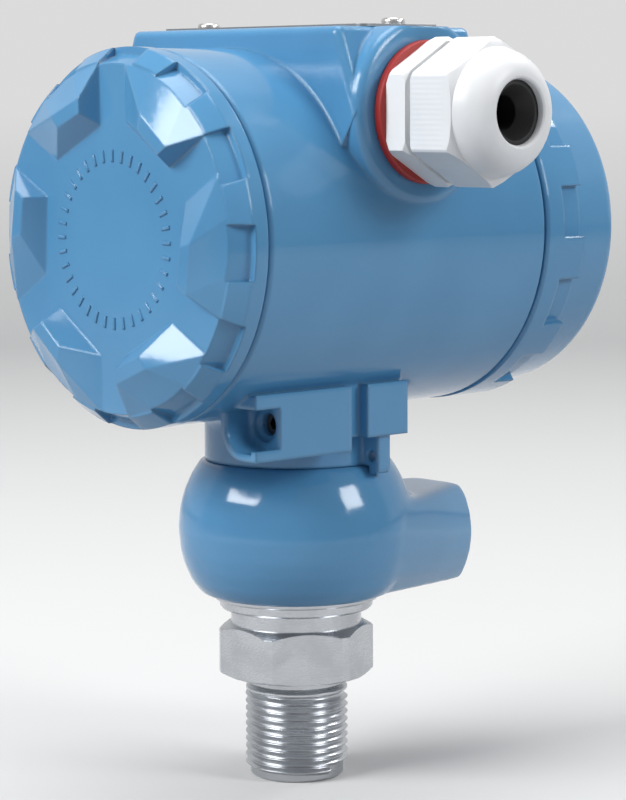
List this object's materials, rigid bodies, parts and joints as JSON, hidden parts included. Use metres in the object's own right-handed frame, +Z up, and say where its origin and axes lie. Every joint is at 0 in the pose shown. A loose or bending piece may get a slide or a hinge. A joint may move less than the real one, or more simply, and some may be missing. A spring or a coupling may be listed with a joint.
{
  "type": "pressure transmitter",
  "caption": "Field pressure transmitter: two-compartment cast housing with blind and windowed screw covers, cable gland, turning neck and threaded steel process connection.",
  "frame": {"origin": "centre of the process thread's end face, at the mouth of the pressure port", "axes": "+Z up the thread axis towards the housing, -Y out of the blind cover, +Y out of the windowed cover, +X out of the cable gland"},
  "size_m": [0.0964, 0.1047, 0.1462],
  "materials": {
    "blue_enamel": "satin powder coat",
    "turned_steel": "fine turned",
    "sensor_steel": "turned",
    "black_rubber": "matt",
    "red_rubber": "matt",
    "screw_steel": "polished",
    "dark_screw": "blackened",
    "plate_metal": "brushed",
    "ring_metal": "machined",
    "window": "clear",
    "spacer_brass": "turned",
    "board_green": "solder mask",
    "display_shell": "moulded",
    "display_panel": "smooth",
    "terminal_plastic": "moulded",
    "gland_plastic": "moulded",
    "plug_metal": "turned"
  },
  "bodies": {
    "head": {"process_connection": "turned_steel", "sensor_capsule": "sensor_steel", "sensor_seal": "black_rubber", "sensor_lock_ring": "sensor_steel", "sensor_head": "blue_enamel", "neck_seal": "black_rubber"},
    "front_cover_carriage": {"front_cover_seal": "black_rubber"},
    "front_cover": {"front_cover": "blue_enamel"},
    "rear_cover_carriage": {"rear_cover_seal": "black_rubber"},
    "rear_cover": {"rear_cover": "blue_enamel", "window_gasket": "black_rubber", "window_glass": "window", "window_ring": "ring_metal"},
    "gland_carriage": {"gland_seal": "black_rubber"},
    "gland_nut": {"gland_nut": "gland_plastic"},
    "housing": {"housing_body": "blue_enamel", "housing_lock_screw": "dark_screw", "cover_lock_screws": "dark_screw", "nameplate": "plate_metal", "nameplate_screws": "screw_steel", "board_standoffs": "spacer_brass", "board_screws": "screw_steel", "electronics_board": "board_green", "display_standoffs": "spacer_brass", "display_screws": "screw_steel", "display_module": "display_shell", "display_glass": "display_panel", "terminal_block": "terminal_plastic", "terminal_screws": "screw_steel", "terminal_mount_screws": "screw_steel", "inner_ground_screw": "screw_steel", "outer_ground_screw": "screw_steel", "outer_ground_washer": "screw_steel", "gland_washer": "red_rubber", "gland_body": "gland_plastic", "blanking_plug": "plug_metal", "blanking_plug_seal": "black_rubber"}
  },
  "joints": [
    {"name": "housing_turn", "type": "hinge", "parent": "head", "child": "housing", "pos_m": [0, 0, 0.0625], "axis": [0, 0, 1], "range_deg": [-175, 175]},
    {"name": "front_cover_travel", "type": "slide", "parent": "housing", "child": "front_cover_carriage", "axis": [0, -1, 0], "range_m": [0, 0.0085]},
    {"name": "front_cover_turn", "type": "hinge", "parent": "front_cover_carriage", "child": "front_cover", "pos_m": [0, -0.0368, 0.1062], "axis": [0, -1, 0], "range_deg": [0, 1528]},
    {"name": "rear_cover_travel", "type": "slide", "parent": "housing", "child": "rear_cover_carriage", "axis": [0, 1, 0], "range_m": [0, 0.0085]},
    {"name": "rear_cover_turn", "type": "hinge", "parent": "rear_cover_carriage", "child": "rear_cover", "pos_m": [0, 0.0336, 0.1062], "axis": [0, 1, 0], "range_deg": [0, 1528]},
    {"name": "gland_travel", "type": "slide", "parent": "housing", "child": "gland_carriage", "axis": [1, 0, 0], "range_m": [0, 0.009]},
    {"name": "gland_nut_turn", "type": "hinge", "parent": "gland_carriage", "child": "gland_nut", "pos_m": [0.043, 0.001, 0.129], "axis": [1, 0, 0], "range_deg": [0, 2158]}
  ],
  "couplings": [
    {"joint": "front_cover_travel", "follows": "front_cover_turn", "m_per_rad": 0.00031831},
    {"joint": "rear_cover_travel", "follows": "rear_cover_turn", "m_per_rad": 0.00031831},
    {"joint": "gland_travel", "follows": "gland_nut_turn", "m_per_rad": 0.00023873}
  ]
}
